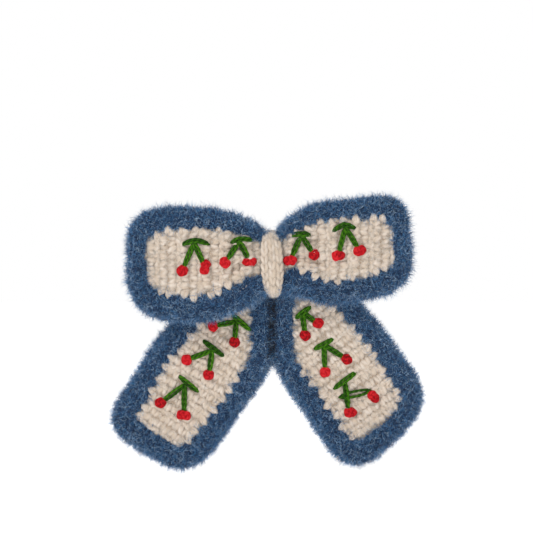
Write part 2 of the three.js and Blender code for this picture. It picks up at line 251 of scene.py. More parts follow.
def woollyFinish(name, deep, plain, bright, scale):
    # brushed yarn seen under its own fibres; for the cream cloth, its darker tan is painted shade between the
    # stitches
    f = Finish(name)
    spot = f.add("ShaderNodeTexCoord", None, out=3)
    coarse = f.add("ShaderNodeTexNoise", None, Vector=spot, Scale=scale, Detail=5.0, Roughness=0.7)
    fine = f.add("ShaderNodeTexNoise", None, Vector=spot, Scale=scale * 4, Detail=3.0, Roughness=0.6)
    mix = coarse * 0.65 + fine * 0.45 - 0.05
    colour = f.add("ShaderNodeValToRGB", {"stops": [(0.34, deep), (0.52, plain), (0.7, bright)]}, mix)
    bump = f.add("ShaderNodeBump", None, Strength=0.9, Distance=0.6 * mm, Height=mix)
    return f.surface(**{
        "Base Color": colour,
        "Roughness": 1.0,
        "Specular IOR Level": 0.1,
        "Sheen Weight": 0.3,
        "Normal": bump,
    })


def fibreFinish(name, colour):
    f = Finish(name)
    return f.surface(**{
        "Base Color": colour,
        "Roughness": 0.85,
        "Specular IOR Level": 0.2,
        "Sheen Weight": 0.2,
    })


def steelFinish(name):
    f = Finish(name)
    spot = f.add("ShaderNodeTexCoord", None, out=3)
    stretched = f.add("ShaderNodeMapping", None, Vector=spot, Scale=(60.0, 1500.0, 1500.0))
    lines = f.add("ShaderNodeTexNoise", None, Vector=stretched, Scale=1.0, Detail=4.0, Roughness=0.6)
    smudge = f.add("ShaderNodeTexNoise", None, Vector=spot, Scale=90.0, Detail=2.0)
    bump = f.add("ShaderNodeBump", None, Strength=0.12, Distance=0.05 * mm, Height=lines)
    return f.surface(**{
        "Base Color": smudge * 0.12 + 0.40,
        "Metallic": 1.0,
        "Roughness": lines * 0.2 + smudge * 0.12 + 0.1,
        "Normal": bump,
    })


creamYarn = yarnFinish("creamYarn", hexColour("cbb9a5"), hexColour("d4c4b4"), hexColour("dfd3c7"), 3, 3.4)
# the cloth shows only in the gaps between stitches: its darker, browner tan is painted shade there
creamGroundPaintedShade = woollyFinish(
    "creamGroundPaintedShade", hexColour("bca48a"), hexColour("cebba6"), hexColour("dacdbd"), 420.0)
greenYarn = yarnFinish("greenYarn", hexColour("0d2800"), hexColour("255202"), hexColour("467b08"), 2, 2.2,
                       sheen=0.0, ridge=0.8)
redYarn = yarnFinish("redYarn", hexColour("6c0108"), hexColour("b60c17"), hexColour("d3282f"), 2, 2.2,
                     sheen=0.0, ridge=0.8)
blueCore = woollyFinish("blueWool", hexColour("0d1d33"), hexColour("1c3655"), hexColour("3a5c84"), 900.0)
blueFibres = [
    fibreFinish("blueFibreDark", hexColour("1c4878")),
    fibreFinish("blueFibreMid", hexColour("4c87bc")),
    fibreFinish("blueFibreLight", hexColour("b4d3f0")),
    # painted shadow: near-black fibres, used only where the tails meet
    fibreFinish("blueFibrePaintedShadow", hexColour("08152a")),
]
creamFibres = [fibreFinish("creamFibre", hexColour("ede6dc"))]
steel = steelFinish("clipSteel")
print("finishes ready")


def evenly(line, step):
    # points a step apart along a line of (x, z, ...) rows
    gaps = np.linalg.norm(np.diff(line[:, :2], axis=0), axis=1)
    run = np.concatenate([[0], np.cumsum(gaps)])
    count = max(4, int(round(run[-1] / step)))
    at = np.linspace(0, run[-1], count + 1)
    return np.stack([np.interp(at, run, line[:, k]) for k in range(line.shape[1])], axis=1)


def smoothLoop(points, step):
    p = np.array(points, float)
    p = np.vstack([p[-1:], p, p[:2]])
    t = np.linspace(0, 1, 16, endpoint=False)[:, None]
    spans = []
    for a, b, c, d in zip(p[:-3], p[1:-2], p[2:-1], p[3:]):
        spans.append(0.5 * (2 * b + (c - a) * t + (2 * a - 5 * b + 4 * c - d) * t ** 2
                            + (3 * b - a - 3 * c + d) * t ** 3))
    line = np.vstack(spans)
    return evenly(np.vstack([line, line[:1]]), step)[:-1]


def outwardOf(loop):
    # loops run anticlockwise seen from the front
    ahead = np.roll(loop[:, :2], -1, axis=0) - np.roll(loop[:, :2], 1, axis=0)
    for _ in range(8):
        ahead = ahead + 0.5 * (np.roll(ahead, 1, axis=0) + np.roll(ahead, -1, axis=0))
    ahead /= np.linalg.norm(ahead, axis=1)[:, None]
    return np.stack([ahead[:, 1], -ahead[:, 0]], axis=1)


def smoothPaths(paths, steps):
    # Catmull-Rom through the same number of points on every path at once
    p = np.concatenate([2 * paths[:, :1] - paths[:, 1:2], paths, 2 * paths[:, -1:] - paths[:, -2:-1]], axis=1)
    spans = paths.shape[1] - 1
    at = np.linspace(0, spans, steps)
    i = np.minimum(at.astype(int), spans - 1)
    t = (at - i)[None, :, None]
    a, b, c, d = p[:, i], p[:, i + 1], p[:, i + 2], p[:, i + 3]
    square = 2 * a - 5 * b + 4 * c - d
    cube = 3 * b - a - 3 * c + d
    return 0.5 * (2 * b + (c - a) * t + square * t ** 2 + cube * t ** 3)


def unit(v):
    return v / np.maximum(np.linalg.norm(v, axis=-1, keepdims=True), 1e-9)


def threeAround(ahead):
    # three directions square to a fibre
    helper = np.where(np.abs(ahead[:, 2:3]) < 0.8, [[0.0, 0.0, 1.0]], [[1.0, 0.0, 0.0]])
    side = unit(np.cross(ahead, helper))
    over = np.cross(ahead, side)
    angle = np.arange(3) / 3 * 2 * math.pi
    return side[:, None] * np.cos(angle)[None, :, None] + over[:, None] * np.sin(angle)[None, :, None]


class Heap:
    # collects points and faces until they become one mesh
    def __init__(self):
        self.points, self.quads, self.tris = [], [], []
        self.quadUv, self.triUv, self.tones = [], [], []
        self.quadSlots, self.triSlots = [], []
        self.count = 0

    def take(self, points, quads, tris, quadUv=None, triUv=None, tones=None, slotsQ=None, slotsT=None):
        n = len(points)
        self.points.append(points)
        self.quads.append(quads + self.count)
        self.tris.append(tris + self.count)
        self.quadUv.append(np.zeros((len(quads), 4, 2)) if quadUv is None else quadUv)
        self.triUv.append(np.zeros((len(tris), 3, 2)) if triUv is None else triUv)
        self.tones.append(np.full(n, 0.5) if tones is None else tones)
        self.quadSlots.append(np.zeros(len(quads), int) if slotsQ is None else slotsQ)
        self.triSlots.append(np.zeros(len(tris), int) if slotsT is None else slotsT)
        self.count += n

    def strands(self, paths, radius, up, rng, steps=9, sides=8, plies=3, pitch=3.4, lobe=0.1, ends=0.35):
        # plied yarn swept along each path, rounded at both ends
        line = smoothPaths(np.asarray(paths, float), steps)
        n = len(line)
        ahead = unit(np.gradient(line, axis=1))
        side = unit(np.cross(ahead, np.broadcast_to(np.asarray(up, float).reshape(-1, 1, 3), line.shape)))
        over = np.cross(side, ahead)
        gaps = np.linalg.norm(np.diff(line, axis=1), axis=2)
        run = np.concatenate([np.zeros((n, 1)), np.cumsum(gaps, axis=1)], 1)
        share = np.linspace(0, 1, steps)
        tip = np.clip(np.minimum(share, 1 - share) * steps / 2, 0, 1)
        thick = np.minimum(1, ends + (1 - ends) * np.sqrt(tip))
        start = rng.random((n, 1)) * 7
        angle = np.arange(sides) / sides * 2 * math.pi
        turn = (run + start) / pitch * 2 * math.pi
        wave = 1 + lobe * np.cos(plies * angle[None, None, :] - turn[:, :, None])
        radii = np.broadcast_to(np.asarray(radius, float).reshape(-1, 1, 1), (n, 1, 1))
        size = radii * thick[None, :, None] * wave
        ring = (line[:, :, None] + side[:, :, None] * (size * np.cos(angle))[..., None]
                + over[:, :, None] * (size * np.sin(angle))[..., None])
        caps = line[:, [0, -1]]
        points = np.concatenate([ring.reshape(n, -1, 3), caps], axis=1)
        per = steps * sides + 2
        j, k = np.meshgrid(np.arange(steps - 1), np.arange(sides), indexing="ij")
        k2 = (k + 1) % sides
        low = j * sides
        quad = np.stack([low + k, low + k2, low + sides + k2, low + sides + k], -1).reshape(-1, 4)
        ks = np.arange(sides)
        k3 = (ks + 1) % sides
        last = (steps - 1) * sides
        tri = np.concatenate([
            np.stack([np.full(sides, per - 2), k3, ks], -1),
            np.stack([np.full(sides, per - 1), last + ks, last + k3], -1),
        ])
        base = (np.arange(n) * per)[:, None, None]
        u = run + start
        qu = np.stack([u[:, j], u[:, j], u[:, j + 1], u[:, j + 1]], -1).reshape(n, -1, 4)
        qv = np.broadcast_to(np.stack([k, k + 1, k + 1, k], -1).reshape(1, -1, 4) / sides, qu.shape)
        tu = np.concatenate([np.repeat(u[:, :1], sides, 1), np.repeat(u[:, -1:], sides, 1)], 1)
        tu = np.repeat(tu[:, :, None], 3, 2)
        tv = np.broadcast_to(np.concatenate([
            np.stack([ks + 0.5, ks + 1, ks], -1),
            np.stack([ks + 0.5, ks, ks + 1], -1)])[None] / sides, tu.shape)
        self.take(points.reshape(-1, 3),
                  (quad[None] + base).reshape(-1, 4), (tri[None] + base).reshape(-1, 3),
                  np.stack([qu, qv], -1).reshape(-1, 4, 2), np.stack([tu, tv], -1).reshape(-1, 3, 2),
                  np.repeat(rng.random(n), per))

    def spikes(self, roots, mids, tips, radius, slots):
        # fine fibres: a three-sided spike, bent once
        n = len(roots)
        spread = threeAround(unit(mids - roots))
        low = roots[:, None] + spread * radius
        middle = mids[:, None] + spread * radius * 0.75
        points = np.concatenate([low, middle, tips[:, None]], axis=1)
        quad = np.array([[k, (k + 1) % 3, 3 + (k + 1) % 3, 3 + k] for k in range(3)])
        tri = np.array([[3 + k, 3 + (k + 1) % 3, 6] for k in range(3)] + [[2, 1, 0]])
        base = (np.arange(n) * 7)[:, None, None]
        self.take(points.reshape(-1, 3),
                  (quad[None] + base).reshape(-1, 4), (tri[None] + base).reshape(-1, 3),
                  slotsQ=np.repeat(slots, 3), slotsT=np.repeat(slots, 4))

    def needles(self, roots, tips, radius, slots=None):
        # the shortest fibres: straight, with three sides and a base
        n = len(roots)
        spread = threeAround(unit(tips - roots))
        points = np.concatenate([roots[:, None] + spread * radius, tips[:, None]], axis=1)
        tri = np.array([[0, 1, 3], [1, 2, 3], [2, 0, 3], [2, 1, 0]])
        slots = np.zeros(n, int) if slots is None else slots
        base = (np.arange(n) * 4)[:, None, None]
        self.take(points.reshape(-1, 3), np.zeros((0, 4), int), (tri[None] + base).reshape(-1, 3),
                  slotsT=np.repeat(slots, 4))

    def grid(self, points, closedRows=False, closedColumns=False):
        rows, columns = points.shape[:2]
        r = np.arange(rows if closedRows else rows - 1)
        c = np.arange(columns if closedColumns else columns - 1)
        j, k = np.meshgrid(r, c, indexing="ij")
        j2, k2 = (j + 1) % rows, (k + 1) % columns
        quads = np.stack([j * columns + k, j * columns + k2, j2 * columns + k2, j2 * columns + k], -1)
        self.take(points.reshape(-1, 3), quads.reshape(-1, 4), np.zeros((0, 3), int))

    def make(self, name, materials):
        points = np.vstack(self.points) * mm
        quads, tris = np.vstack(self.quads), np.vstack(self.tris)
        mesh = bpy.data.meshes.new(name)
        mesh.vertices.add(len(points))
        mesh.vertices.foreach_set("co", points.astype(np.float32).ravel())
        mesh.loops.add(len(quads) * 4 + len(tris) * 3)
        mesh.loops.foreach_set("vertex_index", np.concatenate([quads.ravel(), tris.ravel()]).astype(np.int32))
        mesh.polygons.add(len(quads) + len(tris))
        starts = np.concatenate([np.arange(len(quads)) * 4, len(quads) * 4 + np.arange(len(tris)) * 3])
        mesh.polygons.foreach_set("loop_start", starts.astype(np.int32))
        slots = np.concatenate(self.quadSlots + self.triSlots)
        for material in materials:
            mesh.materials.append(material)
        mesh.polygons.foreach_set("material_index", slots.astype(np.int32))
        mesh.update(calc_edges=True)
        uv = np.concatenate([np.vstack(self.quadUv).reshape(-1, 2), np.vstack(self.triUv).reshape(-1, 2)])
        layer = mesh.uv_layers.new(name="yarn")
        layer.data.foreach_set("uv", uv.astype(np.float32).ravel())
        tone = mesh.attributes.new("tone", "FLOAT", "POINT")
        tone.data.foreach_set("value", np.concatenate(self.tones).astype(np.float32))
        mesh.validate()
        mesh.shade_smooth()
        made = bpy.data.objects.new(name, mesh)
        bpy.context.scene.collection.objects.link(made)
        print(name, len(quads) * 2 + len(tris), "triangles")
        return made


def settle(piece, body, nodes=(), blendAt=None):
    # attaches a finished piece to its body (with blendAt, it only bakes its transform in) and hides the nodes
    # it stands for
    if blendAt:
        [p * mm for p in blendAt[0]]
        [p * mm for p in blendAt[1]]
        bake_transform(piece)
    else:
        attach(piece, body)
    if nodes:
        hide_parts(*nodes)
    return piece


def smooth(value, low, high):
    t = np.clip((value - low) / (high - low), 0, 1)
    return t * t * (3 - 2 * t)


crochet = {
    "row": 4.3,
    "stitch": 3.1,
    "yarn": 1.17,
    "surface": 0.95,  # middle of the outer strands, from the middle of the cloth
    "ground": 2.7,  # thickness of the plain cloth under the stitches
    "spikePitch": 5.5,  # two lobes of the border and the cream spikes between them
    "spikeDepth": 3.3,
    "spikeYarn": 0.74,
    "jitter": 0.24,
    "fibre": 0.06,
    "fibreLong": (0.7, 1.9),
}

wool = {
    "patch": 0.55,  # size of its tufts
    "patchShare": 0.25,  # how much of a fibre's shade comes from its tuft
    "gap": 0.6,  # size of the gaps between tufts
    "bare": 0.32,  # how much of the border is gaps
    "strays": 0.12,  # fibres that still cross a gap
    "shades": (0.4, 0.75),
    "long": 0.075,  # how thick the long and the short fibres are
    "short": 0.11,
    "lumps": 0.36,
}

# x, z and half the border's width, anticlockwise seen from the front
bow = {
    "name": "bow",
    "outline": [
        (0, 8.8, 1.8), (-4.6, 10.9, 2.7), (-7.3, 12.9, 3.3), (-9.9, 14.0, 3.4), (-12.8, 15.1, 3.6),
        (-15.9, 16.0, 3.9), (-21.4, 17.2, 4.1), (-27.0, 17.8, 4.3), (-32.5, 18.0, 4.3), (-38.0, 18.1, 4.5),
        (-43.1, 17.9, 4.4), (-48.0, 16.4, 5.0), (-51.0, 14.6, 4.8), (-53.0, 12.0, 4.2), (-54.1, 8.1, 3.9),
        (-54.3, 4.0, 3.5), (-53.8, -0.5, 3.6), (-53.7, -5.0, 4.1), (-52.8, -8.9, 4.3), (-50.9, -12.4, 4.6),
        (-48.5, -14.4, 5.1), (-45.8, -16.0, 5.3), (-41.9, -17.0, 5.4), (-37.9, -17.6, 5.2),
        (-32.5, -18.1, 4.9), (-27.2, -17.4, 5.1), (-21.7, -16.7, 4.7), (-16.8, -14.8, 4.9),
        (-12.9, -12.9, 4.9), (-8.5, -9.8, 5.0), (-4.6, -8.4, 4.6), (0, -8.4, 2.8), (4.6, -7.3, 4.6),
        (9.3, -7.2, 5.2), (13.5, -8.2, 5.0), (17.0, -9.8, 4.4), (21.9, -11.0, 4.7), (26.9, -11.0, 4.5),
        (32.0, -10.4, 4.8), (36.8, -9.5, 4.4), (40.8, -8.7, 4.5), (44.4, -7.5, 4.9), (47.5, -6.0, 4.4),
        (50.4, -4.0, 4.0), (51.9, -1.2, 3.5), (52.0, 2.0, 3.5), (51.9, 6.0, 3.8), (51.3, 10.0, 3.5),
        (50.7, 13.4, 3.7), (50.5, 16.8, 4.3), (49.5, 19.5, 4.6), (47.3, 21.7, 4.6), (43.5, 22.6, 4.4),
        (39.5, 22.7, 4.1), (33.7, 22.0, 3.8), (27.9, 21.4, 3.5), (22.4, 20.8, 3.8), (16.7, 19.9, 3.7),
        (13.2, 18.1, 3.4), (9.7, 16.2, 3.4), (6.9, 14.2, 3.2), (4.6, 12.0, 2.7),
    ],
    "along": (1.0, 0.0),
    "waistY": -7.4,
    "puff": 1.2,
    "foldHeight": 1.5,
    "folds": 1.25,
    "thick": 2.8,
    "body": "bow",
    "seed": 11,
    "flat": (0.103, 0.036),  # metres
    "area": 0.0030,
}
leftTail = {
    "name": "leftTail",
    "outline": [
        (-5.2, 4.5, 1.8), (-10, 1.5, 2.6), (-16, -4.2, 3.4), (-21.5, -10.3, 4.2), (-26.3, -15.0, 4.4),
        (-30.4, -19.0, 4.5), (-34.0, -23.4, 4.5), (-37.8, -27.7, 4.5), (-41.7, -32.6, 4.7),
        (-45.7, -37.8, 4.5), (-49.0, -43.0, 4.4), (-52.0, -48.3, 4.5), (-54.6, -52.6, 4.6),
        (-57.1, -56.6, 4.7), (-58.7, -60.0, 5.3), (-59.0, -63.0, 5.6), (-57.4, -65.9, 5.5),
        (-54.7, -68.6, 4.9), (-51.2, -71.1, 4.5), (-47.1, -73.7, 4.5), (-43.0, -76.0, 4.6),
        (-40.1, -77.3, 4.9), (-37.2, -77.7, 5.0), (-34.4, -77.2, 5.0), (-31.5, -75.8, 4.9),
        (-28.4, -73.1, 4.9), (-25.6, -69.5, 4.7), (-21.3, -63.6, 4.6), (-17.1, -57.8, 4.2),
        (-13.0, -52.2, 4.2), (-9.2, -46.7, 4.6), (-6.6, -42.4, 4.6), (-4.8, -38.0, 4.6), (-4.4, -32.5, 4.3),
        (-4.3, -27.0, 4.3), (-4.3, -22.0, 4.4), (-4.3, -17.4, 4.5), (-5.3, -13.2, 4.1), (-7.4, -8, 2.4),
        (-6.0, -4, 1.8),
    ],
    "along": (-0.559, -0.829),
    "thick": 2.8,
    "body": "left_tail",
    "seed": 23,
    "flat": (0.037, 0.084),  # metres
    "area": 0.0025,
}
rightTail = {
    "name": "rightTail",
    "outline": [
        (6.0, -4, 1.8), (7.4, -8, 2.4), (5.5, -13.2, 4.1), (4.4, -17.4, 4.5), (4.4, -21.5, 4.4),
        (4.3, -26, 4.3), (4.3, -31, 4.3), (4.8, -36.6, 4.5), (6.6, -41.1, 4.2), (8.5, -45.1, 4.1),
        (11.3, -49.5, 4.4), (14.6, -53.8, 4.4),
        (18.5, -59.3, 4.4), (22.4, -64.8, 4.9), (25.0, -68.8, 4.5), (27.6, -72.1, 4.8), (30.0, -74.4, 5.0),
        (32.6, -75.8, 5.0), (35.7, -75.8, 4.9), (39.1, -74.4, 4.6), (43.3, -71.3, 4.2), (47.5, -67.9, 4.2),
        (51.3, -64.1, 4.1), (54.2, -59.9, 4.5), (55.4, -56.4, 4.7), (55.6, -53.0, 4.9), (54.7, -49.7, 4.9),
        (53.0, -46.5, 4.8), (50.3, -42.2, 4.4), (47.1, -37.8, 4.4), (43.8, -32.9, 4.3), (40.0, -28.2, 4.4),
        (36.4, -23.7, 4.3), (32.5, -19.2, 4.4), (28.0, -14.6, 4.3), (22.5, -9.0, 4.0), (16.5, -3.8, 3.4),
        (10, 1.5, 2.6), (5.2, 4.5, 1.8),
    ],
    "along": (0.574, -0.819),
    "thick": 2.8,
    "body": "right_tail",
    "seed": 37,
    "flat": (0.037, 0.082),  # metres
    "area": 0.0025,
}
tails = {
    "gatherY": -3.9,
    "lowY": -1.0,
    "gatherZ": -6.0,
    "lowZ": -24.0,
    "pressed": 0.26,  # how much flatter the border is where the loops and the clip hold it
    "blendFrom": -7.0,
    "blendTo": -16.0,
    "crease": 1.5,  # width of the strip of painted shadow on either side of where the tails meet
    "creaseZ": -38.0,
}
# nothing of the cloth reaches into the clip's plate: half its length and width, and its front
clipRoom = {"x": 28.6, "z": 5.2, "y": -1.85}


class Cloth:
    # one crocheted panel: its outline, its middle surface and where its rows lie
    def __init__(self, plan):
        self.plan = plan
        self.loop = smoothLoop(plan["outline"], 0.7)
        self.out = outwardOf(self.loop)
        self.along = np.array(plan["along"])
        self.across = np.array([-self.along[1], self.along[0]])
        width = self.loop[:, 2:3]
        # the stitches show as far as the border's lobes; the cloth itself goes on to the middle of the border
        self.seen = self.spans(self.loop[:, :2] - self.out * (width * np.clip(width / 4, 0.4, 1) + 0.3))
        self.whole = self.spans(self.loop[:, :2] - self.out * width * 0.15)
        self.stations = np.array([self.seen[0][0], self.seen[0][-1]])

    def spans(self, edge):
        # how far the cloth reaches across, at every place along it
        along, across = edge @ self.along, edge @ self.across
        spots = np.linspace(along.min() + 0.2, along.max() - 0.2, 240)
        ahead, aside = np.roll(along, -1), np.roll(across, -1)
        ends = []
        for spot in spots:
            hit = (along - spot) * (ahead - spot) < 0
            t = (along[hit] - spot) / (along[hit] - ahead[hit])
            cut = across[hit] + (aside[hit] - across[hit]) * t
            ends.append((cut.min(), cut.max()))
        return spots, np.array(ends)[:, 0], np.array(ends)[:, 1]

    def span(self, station, whole=False):
        spots, low, high = self.whole if whole else self.seen
        return np.interp(station, spots, low), np.interp(station, spots, high)

    def middleY(self, x, z):
        plan = self.plan
        if plan["name"] == "bow":
            spread = smooth(np.abs(x), 4, 15)
            low, high = self.span(x)
            v = (z - (low + high) / 2) / np.maximum((high - low) / 2, 1)
            fold = np.cos(v * math.pi * plan["folds"] * 2 + np.where(x > 0, 0.5, -0.3))
            fade = 1 - smooth(np.abs(x), 8, 34)
            wave = 0.35 * np.sin(x * 0.13 + z * 0.21) + 0.3 * np.sin(z * 0.17 - x * 0.07 + 1)
            rise = plan["puff"] + plan["foldHeight"] * fold * fade - wave
            return plan["waistY"] - rise * spread
        drop = smooth(-z, -tails["gatherZ"], -tails["lowZ"])
        wave = 0.35 * np.sin(x * 0.11 + z * 0.16) + 0.25 * np.sin(z * 0.23 - x * 0.05)
        return tails["gatherY"] + (tails["lowY"] - tails["gatherY"]) * drop + wave * drop

    def place(self, station, across, lift, front):
        # front is 1 for the face away from the head and -1 for the back
        x = station * self.along[0] + across * self.across[0]
        z = station * self.along[1] + across * self.across[1]
        y = self.middleY(x, z) - front * lift
        return np.stack(np.broadcast_arrays(x, y, z), axis=-1)


def groundCloth(cloth):
    plan = cloth.plan
    stations = np.linspace(cloth.whole[0][0] + 1.0, cloth.whole[0][-1] - 1.0, 80)
    low, high = cloth.span(stations, whole=True)
    v = np.linspace(0, 1, 24)
    across = low[:, None] + (high - low)[:, None] * v[None]
    station = np.broadcast_to(stations[:, None], across.shape)
    half = crochet["ground"] / 2
    front = cloth.place(station, across, half, 1)
    back = cloth.place(station, across, half, -1)
    heap = Heap()
    heap.grid(np.concatenate([front, back[:, ::-1]], axis=1), closedColumns=True)
    rows, columns = front.shape[0], front.shape[1] * 2
    ends = []
    for row in (0, rows - 1):
        for k in range(columns // 2 - 1):
            a, b = row * columns + k, row * columns + k + 1
            c, d = row * columns + columns - 2 - k, row * columns + columns - 1 - k
            ends.append((a, b, c, d) if row else (d, c, b, a))
    heap.quads.append(np.array(ends))
    heap.quadUv.append(np.zeros((len(ends), 4, 2)))
    heap.quadSlots.append(np.zeros(len(ends), int))
    made = heap.make(plan["name"] + "Cloth", [creamGroundPaintedShade])
    made.data.flip_normals()
    return made


# one leg of a stitch: across it, along its row and off the cloth
legShape = ((0.04, -0.44, -0.95), (0.17, -0.21, 0.3), (0.31, 0.05, 0.42), (0.42, 0.30, -0.2))


def stitches(cloth):
    # rows of single crochet: pairs of short plump legs, with the loops over every second row
    plan = cloth.plan
    rng = np.random.default_rng(plan["seed"])
    heap = Heap()
    first, last = cloth.stations.min() + 0.6, cloth.stations.max() - 0.6
    count = max(2, int(round((last - first) / crochet["row"])))
    h = (last - first) / count
    legs, bars = [], []
    for front in (1, -1):
        for row in range(count):
            station = first + (row + 0.5) * h
            low, high = cloth.span(station)
            number = max(2, int(round((high - low) / crochet["stitch"])))
            width = (high - low) / number
            rising = (row + (front < 0)) % 2 == 0
            for k in range(number):
                middle = low + (k + 0.5 + (0.18 if row % 2 else -0.18)) * width
                lean = rng.normal(0.06, 0.1)
                for side in (-1, 1):
                    shape = [(side * a, b if rising else -b, c) for a, b, c in legShape]
                    shove = rng.normal(0, crochet["jitter"], 3)
                    turn = rng.normal(0, 0.14)
                    legs.append((front, [(station + b * h + shove[0],
                                          middle + (a + (lean + turn) * b) * width + shove[1],
                                          crochet["surface"] + c + shove[2] * 0.6)
                                         for a, b, c in shape]))
                for start, end in ((-0.5, 0.04), (0.0, 0.52)):
                    # the loops between two rows: long where they show, small knobs in the grooves
                    mid = (start + end) / 2
                    turn = rng.normal(0.06, 0.08) if rising else rng.normal(0, 0.14)
                    base = 0.45 if rising else -0.42
                    high2, low2 = (0.38, -0.3) if rising else (0.24, -0.4)
                    shove = rng.normal(0, crochet["jitter"] * 0.7, 3)
                    shape = [(start, base - turn, low2), (mid - 0.1, base + 0.04 - turn * 0.4, high2),
                             (mid + 0.1, base + 0.04 + turn * 0.4, high2), (end, base + turn, low2)]
                    bars.append((front, [(station + b * h + shove[0], middle + a * width + shove[1],
                                          crochet["surface"] + c + shove[2])
                                         for a, b, c in shape]))
    for group, radius in ((legs, crochet["yarn"]), (bars, crochet["yarn"] * 0.9)):
        for front in (1, -1):
            local = np.array([points for face, points in group if face == front])
            paths = cloth.place(local[..., 0], local[..., 1], local[..., 2], front)
            sizes = radius * rng.normal(1, 0.07, len(paths)).clip(0.85, 1.18)
            heap.strands(paths, sizes, (0, -front, 0), rng, steps=7, lobe=0.06, ends=0.6)
    return heap


def creamHaze(cloth, count, seed):
    # the few fibres that stand off the cream yarn
    rng = np.random.default_rng(seed)
    station = rng.uniform(cloth.stations.min() + 1, cloth.stations.max() - 1, count)
    low, high = cloth.span(station)
    across = low + (high - low) * rng.uniform(-0.02, 1.02, count)
    front = np.where(rng.random(count) < 0.7, 1, -1)
    x = station * cloth.along[0] + across * cloth.across[0]
    z = station * cloth.along[1] + across * cloth.across[1]
    y = cloth.middleY(x, z) - front * (crochet["surface"] + 1.2)
    roots = np.stack([x, y, z], axis=1)
    flow = rng.normal(0, 1, (count, 3))
    flow[:, 1] = -front * np.abs(flow[:, 1]) * 0.6
    tips = roots + unit(flow) * rng.uniform(*crochet["fibreLong"], (count, 1))
    heap = Heap()
    heap.needles(roots, tips, crochet["fibre"])
    return heap


def edgeRings(cloth):
    # points round the border's own section: blue lobes on its inner side, with notches for the cream spikes
    plan = cloth.plan
    loop = smoothLoop(plan["outline"], 0.6)
    out = outwardOf(loop)
    rng = np.random.default_rng(plan["seed"] + 1)
    around = 38
    angle = np.arange(around) / around * 2 * math.pi
    run = np.concatenate([[0], np.cumsum(np.linalg.norm(np.diff(loop[:, :2], axis=0), axis=1))])
    total = run[-1] + np.linalg.norm(loop[0, :2] - loop[-1, :2])
    teeth = max(4, round(total / crochet["spikePitch"]))
    sway = 0.35 * np.sin(run * 0.21) + 0.3 * np.sin(run * 0.53 + 2) + 0.25 * np.sin(run * 0.9 + plan["seed"])
    phase = run / total * teeth * math.pi + sway - sway[0]
    width = loop[:, 2]
    ahead = np.stack([-out[:, 1], out[:, 0]], axis=1)
    sides = smooth(np.abs(ahead @ cloth.along), 0.55, 0.85)
    depth = crochet["spikeDepth"] * np.clip((width - 1.8) / 2, 0, 1) * (0.2 + 0.8 * sides)
    lobes = np.abs(np.sin(phase)) ** 0.85
    inner = width - 0.2 + depth * (lobes - 0.6)
    outer = width - 0.55 + 0.08 * np.cos(2 * phase)
    thick = plan["thick"] * (0.5 + 0.5 * np.clip((width - 1.4) / 2.4, 0, 1)) * (1 + 0.04 * np.cos(2 * phase))
    if plan["name"] != "bow":
        thick = thick * (1 - tails["pressed"] * smooth(loop[:, 1], -15, -6))
    c, s = np.cos(angle), np.sin(angle)
    reach = np.where(c > 0, outer[:, None], inner[:, None]) * np.sign(c) * np.abs(c) ** 0.85
    lift = thick[:, None] * np.sign(s) * np.abs(s) ** 0.8
    lumps = rng.normal(0, 1, (len(loop), around))
    lumps = (lumps * 2 + np.roll(lumps, 1, 0) + np.roll(lumps, -1, 0) + np.roll(lumps, 1, 1)
             + np.roll(lumps, -1, 1)) / 6
    lumps *= wool["lumps"] / lumps.std()
    swell = 1 + lumps / np.maximum(np.hypot(reach, lift), 1.6)
    reach, lift = reach * swell, lift * swell
    x = loop[:, 0:1] + out[:, 0:1] * reach
    z = loop[:, 1:2] + out[:, 1:2] * reach
    base = cloth.middleY(loop[:, 0], loop[:, 1])
    y = base[:, None] - lift
    return {"points": np.stack([x, y, z], axis=-1), "loop": loop, "out": out, "phase": phase, "depth": depth,
            "inner": inner, "base": base}


def borderCore(cloth, rings):
    heap = Heap()
    heap.grid(rings["points"], closedRows=True, closedColumns=True)
    return heap.make(cloth.plan["name"] + "Edging", [blueCore])


def woolCells(roots, size):
    # a steady number for every small patch of wool, so that neighbouring fibres look alike
    warped = roots / size + 0.6 * np.sin(roots[:, ::-1] * 2.1)
    cell = np.floor(warped).astype(int)
    code = (cell[:, 0] * 73856093) ^ (cell[:, 1] * 19349663) ^ (cell[:, 2] * 83492791)
    return (code % 1009) / 1009


